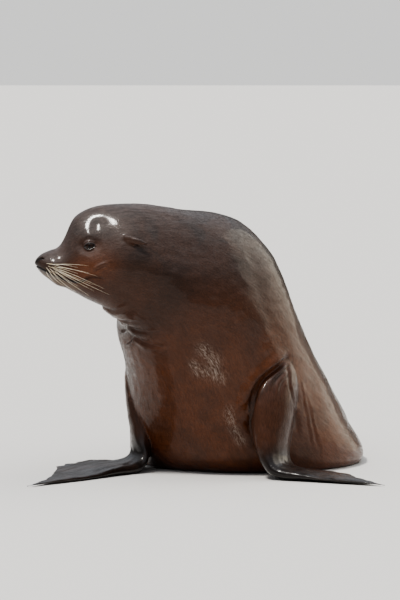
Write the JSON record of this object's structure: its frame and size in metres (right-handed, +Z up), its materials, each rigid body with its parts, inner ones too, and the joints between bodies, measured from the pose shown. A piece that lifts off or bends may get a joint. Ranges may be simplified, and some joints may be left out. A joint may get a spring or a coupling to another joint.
{
  "type": "sea lion",
  "caption": "Life-size male California sea lion sitting up on its fore flippers, head turned to its right, hind flippers folded forwards.",
  "frame": {"origin": "on the floor, under the middle of the animal's box", "axes": "+Z up, the rump and tail lie towards +Y, and the nose points to -X, so the chest faces the space between -Y and -X"},
  "size_m": [0.888, 1.4229, 0.6871],
  "materials": {
    "coat": "short, dense, wet fur, dark brown and glossy",
    "flipper_skin": "bare black-brown skin, wet and finely wrinkled",
    "eye": "wet, almost black, with a clear bulge over it",
    "claw": "dark horn, satin",
    "whisker": "cream white, slightly clear, satin"
  },
  "bodies": {
    "root": {"head": "coat", "lower_jaw": "coat", "neck": "coat", "chest": "coat", "belly": "coat", "rump": "coat", "tail": "coat", "left_arm": "coat", "right_arm": "coat", "left_foreflipper": "flipper_skin", "right_foreflipper": "flipper_skin", "left_hind_leg": "coat", "right_hind_leg": "coat", "left_hind_flipper": "flipper_skin", "right_hind_flipper": "flipper_skin", "left_ear": "coat", "right_ear": "coat", "left_eye": "eye", "right_eye": "eye", "left_claw_1": "claw", "left_claw_2": "claw", "left_claw_3": "claw", "right_claw_1": "claw", "right_claw_2": "claw", "right_claw_3": "claw"}
  },
  "joints": []
}
